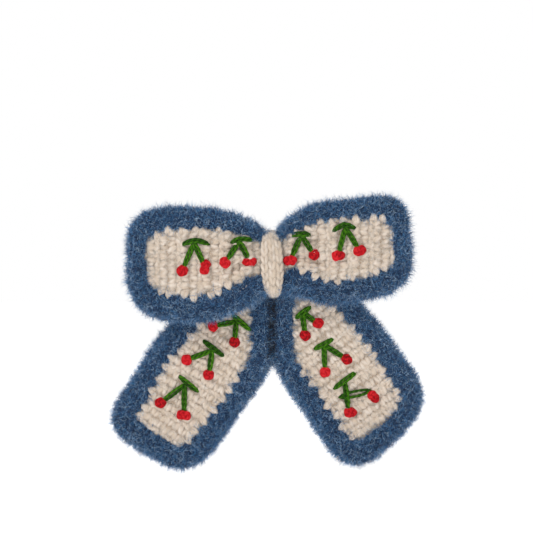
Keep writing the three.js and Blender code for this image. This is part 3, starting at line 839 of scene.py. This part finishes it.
def borderFuzz(cloth, rings, count, longest, seed, straight=False, outside=1.0):
    # curled fibres brushed out of the blue yarn
    points = rings["points"]
    rng = np.random.default_rng(seed)
    rows, around = points.shape[:2]
    j = rng.random(count) * rows
    spread = rng.uniform(-0.5, 0.5, count)
    k = (spread * (outside + (1 - outside) * np.abs(spread) * 2) % 1) * around
    j0, k0 = j.astype(int), k.astype(int)
    tj, tk = (j - j0)[:, None], (k - k0)[:, None]
    j1, k1 = (j0 + 1) % rows, (k0 + 1) % around
    a, b, c, d = points[j0, k0], points[j0, k1], points[j1, k0], points[j1, k1]
    roots = (a * (1 - tk) + b * tk) * (1 - tj) + (c * (1 - tk) + d * tk) * tj
    normal = unit(np.cross(b - a, c - a))
    away = unit(roots - points[j0].mean(axis=1))
    normal *= np.sign((normal * away).sum(1, keepdims=True))
    flow = unit(rng.normal(0, 1, (count, 3)))
    flow -= normal * (flow * normal).sum(1, keepdims=True)
    long = longest * (0.35 + 0.65 * rng.random((count, 1)))
    first = unit(normal * rng.uniform(0.35, 1.3, (count, 1)) + flow * 0.9)
    patch = woolCells(roots, wool["patch"]) * wool["patchShare"]
    value = patch + rng.random(count) * (1 - wool["patchShare"])
    slots = np.searchsorted(wool["shades"], value)
    # the bare patches between tufts, where the dark inside shows
    facing = np.abs(normal[:, 1]) > 0.45
    bare = (woolCells(roots + 40, wool["gap"]) < wool["bare"]) & facing
    keep = ~bare | (rng.random(count) < wool["strays"])
    ends = roots + first * long
    nearClip = (np.abs(roots[:, 0]) < clipRoom["x"]) & (np.abs(roots[:, 2]) < clipRoom["z"])
    keep &= ~(nearClip & (np.maximum(roots[:, 1], ends[:, 1]) > clipRoom["y"]))
    if cloth.plan["name"] != "bow":
        # where the two tails meet, fibres get the near-black slot: painted shadow of one tail on the other
        inside = 1.2 - np.minimum(np.abs(roots[:, 0]), np.abs(ends[:, 0])) / tails["crease"]
        slots[(roots[:, 2] > tails["creaseZ"]) & (rng.random(count) < inside)] = 3
    roots, normal, first, long, slots = roots[keep], normal[keep], first[keep], long[keep], slots[keep]
    count = len(roots)
    heap = Heap()
    if straight:
        heap.needles(roots - normal * 0.1, roots + first * long, wool["short"], slots)
        return heap
    bend = unit(np.cross(first, unit(rng.normal(0, 1, (count, 3)))))
    second = unit(first * 0.5 + bend * rng.uniform(0.3, 1.2, (count, 1)) + normal * 0.1)
    mids = roots + first * long * 0.5
    heap.spikes(roots - normal * 0.15, mids, mids + second * long * 0.5, wool["long"], slots)
    return heap


# from a spike's foot to its tip: share of its reach left, half its width and its height
spikeShape = ((1.0, 1.1, 1.0), (0.62, 0.9, 2.0), (0.3, 0.55, 2.1), (0.0, 0.12, 1.6))


def creamSpikes(cloth, heap, rings, rng):
    # cream stitches that reach out between the blue lobes, on both faces
    loop, out = rings["loop"], rings["out"]
    turn = np.floor(rings["phase"] / math.pi)
    starts = np.where(np.diff(turn) > 0)[0] + 1
    for front in (1, -1):
        paths = []
        for i in starts:
            width, depth = loop[i, 2], rings["depth"][i]
            if depth < 1.3 or abs(loop[i, 0]) < 7.5:
                continue
            side = np.array([-out[i, 1], out[i, 0]])
            tip = rings["inner"][i] - rng.uniform(0.1, 0.9)
            foot = tip + rng.uniform(3.4, 4.2)
            slant = rng.normal(0, 0.25)
            for half in (-1, 0, 1):
                rows = []
                for share, spread, lift in spikeShape:
                    reach = tip + (foot - tip) * share + (0.5 if half else 0.0) * (1 - share)
                    spot = loop[i, :2] - out[i] * reach + side * (half * spread + slant * (1 - share) * 2)
                    y = rings["base"][i] - front * (lift + (0.15 if half == 0 else 0) + rng.normal(0, 0.08))
                    rows.append((spot[0], y, spot[1]))
                paths.append(rows)
        heap.strands(np.array(paths), crochet["spikeYarn"], (0, -front, 0), rng, steps=8, lobe=0.07, ends=0.2)


def makeCloth(plan, fuzzPlan, blendAt=None):
    cloth = Cloth(plan)
    rings = edgeRings(cloth)
    rng = np.random.default_rng(plan["seed"] + 5)
    heap = stitches(cloth)
    creamSpikes(cloth, heap, rings, rng)
    ground = groundCloth(cloth)
    yarn = heap.make(plan["name"] + "Stitches", [creamYarn])
    haze = creamHaze(cloth, fuzzPlan["haze"], plan["seed"] + 3).make(plan["name"] + "Haze", creamFibres)
    edging = borderCore(cloth, rings)
    body = plan["body"]
    settle(ground, body, [body + "_panel"], blendAt)
    settle(yarn, body, (), blendAt)
    settle(haze, body, (), blendAt)
    settle(edging, body, [body + "_edging"], blendAt)
    for i, (count, longest, straight, outside) in enumerate(fuzzPlan["blue"]):
        heap = borderFuzz(cloth, rings, count, longest, plan["seed"] + 50 + i, straight, outside)
        piece = heap.make(plan["name"] + "Fuzz" + "ABCD"[i], blueFibres)
        settle(piece, body, (), blendAt)
    print(plan["name"], "cloth ready")
    return cloth


tailBlend = ((0, -1, tails["blendFrom"]), (0, -1, tails["blendTo"]))
# how many cream fibres, and each coat of blue ones
bowFuzz = {
    "haze": 19000,
    "blue": [(23000, 4.9, False, 0.35), (19000, 2.1, False, 1.0), (46500, 1.5, True, 0.95)],
}
tailFuzz = {
    "haze": 12000,
    "blue": [(23000, 5.0, False, 0.36), (48500, 1.6, True, 0.95)],
}
bowCloth = makeCloth(bow, bowFuzz)
leftCloth = makeCloth(leftTail, tailFuzz, tailBlend)
rightCloth = makeCloth(rightTail, tailFuzz, tailBlend)

knot = {
    "columns": 3,
    "steps": (0.0, 0.42, 0.16),  # how far each column is out of step, in stitches
    "tall": 3.2,
    "yarn": 0.9,
    "front": -12.9,
    "back": 1.2,
    "halfHeight": 12.4,
    "halfWidth": 4.2,
    "taper": 0.42,  # how much narrower the band gets over the top and bottom
    "square": 2.5,
    "tilt": 0.05,
    "drop": 1.5,
    "groundThick": 0.9,
    "haze": 6000,
    "hazeLong": (0.5, 1.3),
    "fibre": 0.04,
    "step": 0.25,
}


def makeBand():
    # the knitted band: three columns of plump V stitches round the pinched middle
    rng = np.random.default_rng(71)
    power = 2 / knot["square"]
    angle = np.linspace(0, 2 * math.pi, 721)[:-1]
    c, s = np.cos(angle), np.sin(angle)
    front, back = knot["front"], knot["back"]
    y = (front + back) / 2 - (back - front) / 2 * np.sign(c) * np.abs(c) ** power
    z = knot["halfHeight"] * np.sign(s) * np.abs(s) ** power
    line = np.stack([y, z], axis=1)
    fine = evenly(np.vstack([line, line[:1]]), knot["step"])[:-1]
    out = -outwardOf(fine)
    total = len(fine)
    count = int(round(total * knot["step"] / knot["tall"]))
    columnWidth = 2 * knot["halfWidth"] / knot["columns"]
    heap = Heap()

    def spot(a, b, lift):
        i = (b % 1.0) * total
        i0 = np.floor(i).astype(int) % total
        i1 = (i0 + 1) % total
        t = (i - np.floor(i))[..., None]
        p = fine[i0] * (1 - t) + fine[i1] * t
        n = unit(out[i0] * (1 - t) + out[i1] * t)
        narrow = 1 - knot["taper"] * np.clip(np.abs(p[..., 1]) / knot["halfHeight"], 0, 1) ** 3
        p = p + n * (lift - knot["drop"] * (np.abs(a) / knot["halfWidth"]) ** 3)[..., None]
        return np.stack([a * narrow - p[..., 1] * knot["tilt"], p[..., 0], p[..., 1]], axis=-1), n

    legs = []
    for column in range(knot["columns"]):
        middle = (column + 0.5) * columnWidth - knot["halfWidth"]
        step = knot["steps"][column]
        for k in range(count):
            wobble = rng.normal(0, 0.09, 4)
            for side in (-1, 1):
                shape = [(0.03, -0.2, -0.6), (0.14, 0.12, 0.16), (0.25, 0.48, 0.32), (0.31, 0.8, 0.1),
                         (0.27, 1.05, -0.55)]
                legs.append([(middle + side * a * columnWidth + wobble[0], (k + b + step + wobble[1]) / count,
                              c + wobble[2]) for a, b, c in shape])
    local = np.array(legs)
    paths, normals = spot(local[..., 0], local[..., 1], local[..., 2])
    up = np.stack([np.zeros(len(normals)), normals[:, 2, 0], normals[:, 2, 1]], axis=1)
    heap.strands(paths, knot["yarn"] * rng.normal(1, 0.05, len(paths)), up, rng, steps=10, sides=9, lobe=0.07,
                 pitch=3.0, ends=0.5)
    rounds = np.arange(0, total, 3) / total
    a = np.concatenate([np.linspace(-1, 1, 9), np.linspace(1, -1, 9)]) * (knot["halfWidth"] - 0.3)
    lift = np.concatenate([np.full(9, 0.2), np.full(9, -knot["groundThick"])])
    shape = (len(rounds), 18)
    grid, _ = spot(*(np.broadcast_to(part, shape) for part in (a, rounds[:, None], lift)))
    heap.grid(grid, closedRows=True, closedColumns=True)
    hazeCount = knot["haze"]
    roots, n = spot(rng.uniform(-1, 1, hazeCount) * (knot["halfWidth"] + 0.3), rng.random(hazeCount),
                    np.full(hazeCount, 0.9))
    flow = rng.normal(0, 1, (hazeCount, 3))
    flow[:, 1:] += n * 0.7
    haze = Heap()
    haze.needles(roots, roots + unit(flow) * rng.uniform(*knot["hazeLong"], (hazeCount, 1)), knot["fibre"])
    settle(haze.make("knotHaze", creamFibres), "bow")
    settle(heap.make("knotBand", [creamYarn]), "bow", ["knot_band"])


makeBand()


cinch = {"turns": 3, "perTurn": 28, "yarn": 0.52, "inset": 0.55, "square": 3.2, "halfWidth": 1.25}


def makeCinch():
    # turns of yarn round the pinched waist
    rng = np.random.default_rng(83)
    low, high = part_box("cinch_yarn")
    y0, y1 = low.y / mm + cinch["inset"], high.y / mm - cinch["inset"]
    top = high.z / mm - cinch["inset"]
    power = 2 / cinch["square"]
    at = np.arange(cinch["turns"] * cinch["perTurn"] + 1) / cinch["perTurn"] * 2 * math.pi
    c, s = np.cos(at), np.sin(at)
    path = np.stack([
        np.linspace(-cinch["halfWidth"], cinch["halfWidth"], len(at)),
        (y0 + y1) / 2 + (y1 - y0) / 2 * np.sign(c) * np.abs(c) ** power,
        top * np.sign(s) * np.abs(s) ** power,
    ], axis=1)
    heap = Heap()
    heap.strands(path[None], cinch["yarn"], (1, 0, 0), rng, steps=170, ends=0.9)
    settle(heap.make("cinchYarn", [creamYarn]), "bow", ["cinch_yarn"])


makeCinch()


gather = {"rows": 25, "around": 72, "pleats": 12, "pleatDeep": 0.35, "halfThick": 0.75, "tall": 0.95}


def makeGather():
    # the strip's bunched middle: pleats that run through the band
    rows, around = gather["rows"], gather["around"]
    low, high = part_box("tail_gather")
    halfX = high.x / mm
    halfZ = high.z / mm * gather["tall"]
    midY = (low.y + high.y) / 2 / mm
    along = np.linspace(-1, 1, rows)
    angle = np.arange(around) / around * 2 * math.pi
    z = halfZ * np.cos(angle)
    pleat = gather["pleatDeep"] * np.cos(angle * gather["pleats"])
    y = (gather["halfThick"] + pleat) * np.sin(angle)
    taper = np.sqrt(np.clip(1 - along ** 8, 0.05, 1))
    grid = np.stack([
        np.broadcast_to(along[:, None] * halfX, (rows, around)),
        midY + y[None] * taper[:, None],
        z[None] * (0.9 + 0.1 * along[:, None] ** 2) * taper[:, None],
    ], axis=-1)
    heap = Heap()
    heap.grid(grid, closedColumns=True)
    ends = []
    for row, order in ((0, 1), (rows - 1, -1)):
        ring = row * around + np.arange(around)
        centre = heap.count
        heap.take(grid[row].mean(0)[None], np.zeros((0, 4), int), np.zeros((0, 3), int))
        fan = np.stack([np.full(around, centre), ring, np.roll(ring, -1)], -1)
        ends.append(fan if order > 0 else fan[:, ::-1])
    heap.tris.append(np.vstack(ends))
    heap.triUv.append(np.zeros((2 * around, 3, 2)))
    heap.triSlots.append(np.zeros(2 * around, int))
    settle(heap.make("tailGather", [creamGroundPaintedShade]), "bow", ["tail_gather"])


makeGather()
print("knot ready")

sprig = {
    "strand": 0.56,
    "apart": 0.56,  # half the gap between a stitch's two strands
    "openApart": 0.95,  # the same, for the stem that was left open
    "above": 2.7,  # how far it lies above the middle of the cloth
    "arch": 0.4,
    "sink": 0.7,
    "stemEnd": 1.0,  # a stem stops this far from its berry's middle
    "pitch": 2.2,
    "berry": 0.7,
    "coil": 1.62,
    "twin": 0.84,  # how big each half of a doubled berry is
    "raised": 1.3,  # how far the berry beside the band stands up
}

cherries = {
    "left_loop": [
        ((-31.0, 8.6), ((-36.4, 7.5), (-30.4, 9.3), (-24.7, 7.7)), ((-35.8, -2.7), (-26.7, -1.2))),
        ((-12.9, 9.2), ((-16.6, 8.4), (-12.0, 9.9), (-7.4, 9.3)), ((-18.7, 0.6), (-9.1, 1.1))),
    ],
    "right_loop": [
        ((11.6, 11.4), ((7.4, 11.2), (11.4, 12.0), (15.4, 11.4)), ((7.1, 1.4), (16.8, 3.8))),
        ((29.2, 14.6), ((23.9, 13.0), (28.6, 15.6), (33.6, 14.2)), ((26.4, 3.4), (34.9, 5.3))),
    ],
    "left_tail": [
        ((-14.4, -23.2), ((-16.3, -20.2), (-8.6, -27.0)), ((-23.8, -25.0), (-15.1, -31.5))),
        ((-24.0, -34.8), ((-28.0, -30.7), (-19.1, -37.6)), ((-34.4, -38.7), (-25.6, -44.7))),
        ((-35.2, -48.6), ((-37.9, -44.9), (-29.6, -51.8)), ((-45.0, -56.0), (-35.6, -61.0))),
    ],
    "right_tail": [
        ((12.2, -19.6), ((9.4, -22.0), (15.8, -17.0)), ((13.4, -28.8), (18.6, -23.8))),
        ((20.9, -32.6), ((16.9, -34.4), (24.8, -30.1)), ((21.5, -43.7), (30.2, -38.4))),
        (None, ((24.8, -50.6), (34.0, -43.5)), ((31.6, -59.9), (41.0, -53.5))),
    ],
}
# the one whose second stem was stitched across the first
crossedStems = [((29.4, -47.0), (30.8, -58.7)), ((26.8, -53.8), (40.2, -51.0))]
# the berries worked as two knots side by side: (place, number, letter) and how far apart
twinBerries = {
    ("left_loop", 1, "b"): (0.25, 1.15),
    ("left_loop", 2, "b"): (1.05, -0.15),
    ("right_loop", 1, "a"): (0.85, 0.1),
    ("right_loop", 2, "a"): (0.75, 0.1),
    ("right_loop", 2, "b"): (0.7, 0.2),
    ("left_tail", 3, "b"): (0.95, -0.15),
    ("right_tail", 3, "a"): (0.7, 0.1),
    ("right_tail", 3, "b"): (0.6, -0.6),
}
besideBand = ("right_loop", 1, "a")  # this berry rests against the band


def onCloth(cloth, spot, lift):
    x, z = spot
    return (x, float(cloth.middleY(np.array(x), np.array(z))) - lift, z)


def doubledStitch(cloth, spots, heap, rng, sinks=(1, 1), apart=sprig["apart"]):
    # a long stitch of doubled yarn, closed at its ends and open in its middle
    spots = np.array(spots, float)
    if len(spots) == 2:
        spots = np.array([spots[0] * (1 - t) + spots[1] * t for t in (0, 0.28, 0.7, 1)])
    else:
        a, b, c = spots
        spots = np.array([a, (a + b) / 2 + (0, 0.25), b, (b + c) / 2 + (0, 0.2), c])
    ahead = unit(spots[-1] - spots[0])
    side = np.array([-ahead[1], ahead[0]])
    paths = []
    for which in (-1, 1):
        rows = []
        for i, spot in enumerate(spots):
            end = i in (0, len(spots) - 1)
            rise = -sprig["sink"] * sinks[0 if i == 0 else 1] if end else sprig["arch"]
            lift = sprig["above"] + rise
            off = which * (0.12 if end else apart) + rng.normal(0, 0.05)
            rows.append(onCloth(cloth, spot + side * off, lift + rng.normal(0, 0.05) + which * 0.06))
        paths.append(rows)
    heap.strands(np.array(paths), sprig["strand"], (0, -1, 0), rng, steps=16, plies=2, pitch=sprig["pitch"],
                 lobe=0.16)


def frenchKnot(cloth, spot, heap, rng, size, raised=0.0):
    # the yarn wound round on itself, with its last turn on top
    turns = rng.uniform(2.1, 2.6)
    t = np.linspace(0, 1, 22)
    angle = rng.random() * 2 * math.pi + t * turns * 2 * math.pi
    wide = sprig["coil"] * size * rng.uniform(0.98, 1.1)
    narrow = sprig["coil"] * size * rng.uniform(0.88, 1.0)
    radius = 1 - 0.62 * smooth(t, 0.35, 1.0)
    tilt = rng.random() * math.pi
    a, b = np.cos(angle) * radius * wide, np.sin(angle) * radius * narrow
    dx, dz = a * math.cos(tilt) - b * math.sin(tilt), a * math.sin(tilt) + b * math.cos(tilt)
    lift = sprig["above"] - 0.35 + 0.75 * t + 0.12 * np.sin(angle)
    x, y, z = onCloth(cloth, spot, raised)
    path = np.stack([x + dx, y - lift, z + dz], axis=1)
    heap.strands(path[None], sprig["berry"], (0, -1, 0), rng, steps=60, sides=9, plies=2,
                 pitch=sprig["pitch"], lobe=0.14, ends=0.5)
    depths = [sprig["above"] + d for d in (-1.4, -0.4, 0.3, 0.75)]
    middle = np.array([[(x + 0.04 * i, y - d, z) for i, d in enumerate(depths)]])
    heap.strands(middle, size, (1, 0, 0), rng, steps=8, sides=9, plies=2, pitch=sprig["pitch"])


def makeCherries(place, cloth, body, blendAt=None):
    for number, (apex, leaf, berries) in enumerate(cherries[place], 1):
        rng = np.random.default_rng(900 + number * 7 + len(place))
        stems = Heap()
        if apex:
            for berry in berries:
                start, end = np.array(apex), np.array(berry)
                stop = end - unit(end - start) * sprig["stemEnd"]
                doubledStitch(cloth, (start, stop), stems, rng, (0.15, 0.7))
        else:
            for pair, apart in zip(crossedStems, (sprig["apart"], sprig["openApart"])):
                doubledStitch(cloth, pair, stems, rng, (0.6, 0.6), apart)
        doubledStitch(cloth, leaf, stems, rng)
        name = f"{place}_cherry_{number}"
        settle(stems.make(name + "_stitches", [greenYarn]), body, [name + "_sprig"], blendAt)
        for letter, berry in zip("ab", berries):
            berryHeap = Heap()
            apart = twinBerries.get((place, number, letter))
            raised = sprig["raised"] if (place, number, letter) == besideBand else 0.0
            if apart:
                for side in (-1, 1):
                    spot = np.array(berry) + np.array(apart) * side
                    frenchKnot(cloth, spot, berryHeap, rng, sprig["twin"], raised)
            else:
                frenchKnot(cloth, berry, berryHeap, rng, 1.0)
            settle(berryHeap.make(f"{name}_knot_{letter}", [redYarn]), body,
                   [f"{name}_berry_{letter}"], blendAt)


for place in ("left_loop", "right_loop"):
    makeCherries(place, bowCloth, "bow")
makeCherries("left_tail", leftCloth, "left_tail", tailBlend)
makeCherries("right_tail", rightCloth, "right_tail", tailBlend)
print("cherries ready")

clip = {
    "edge": 0.14,
    "wire": 0.35,
    "coil": 1.4,
    "turns": 3.5,
    "perTurn": 16,
    "width": 2.85,
    "leg": ((6.5, 0.25), (4.8, 0.25), (3, 0.28), (1.4, 0.4)),  # back from the pin, and its height
    "movingLeg": ((1.4, 1.5), (3, 2.1), (4.8, 2.85), (6.5, 3.6)),  # the same, above the pin
    "bendFrom": 3.6,
    "bendTo": 5.5,
}


def makeClip():
    for node in ("clip_front_plate", "clip_rear_jaw", "clip_hinge_pin"):
        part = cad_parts[node]
        part.data.materials.clear()
        part.data.materials.append(steel)
        weld = part.modifiers.new("weld", "WELD")
        weld.merge_threshold = 0.005 * mm
        bevel = part.modifiers.new("bevel", "BEVEL")
        bevel.width = clip["edge"] * mm
        bevel.segments = 2
        bevel.limit_method = "ANGLE"
        bevel.angle_limit = math.radians(35)
    pinLow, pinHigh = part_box("clip_hinge_pin")
    pinX = (pinLow.x + pinHigh.x) / 2 / mm
    pinY = (pinLow.y + pinHigh.y) / 2 / mm
    half = clip["width"] / 2
    at = np.arange(int(clip["turns"] * clip["perTurn"]) + 1) / clip["perTurn"] * 2 * math.pi - math.pi / 2
    coil = np.stack([pinX + np.cos(at) * clip["coil"], pinY + np.sin(at) * clip["coil"],
                     np.linspace(-half, half, len(at))], axis=1)
    legs = [(pinX - back, up, -half) for back, up in clip["leg"]]
    moving = [(pinX - back, pinY + up, half) for back, up in clip["movingLeg"]]
    path = np.vstack([legs, coil, moving])
    heap = Heap()
    heap.strands(path[None], clip["wire"], (0, 0, 1), np.random.default_rng(5), steps=170, sides=10, lobe=0.0,
                 ends=0.85)
    spring = heap.make("clipSpring", [steel])
    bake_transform(spring)
    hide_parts("clip_spring")
    print("clip ready")


makeClip()
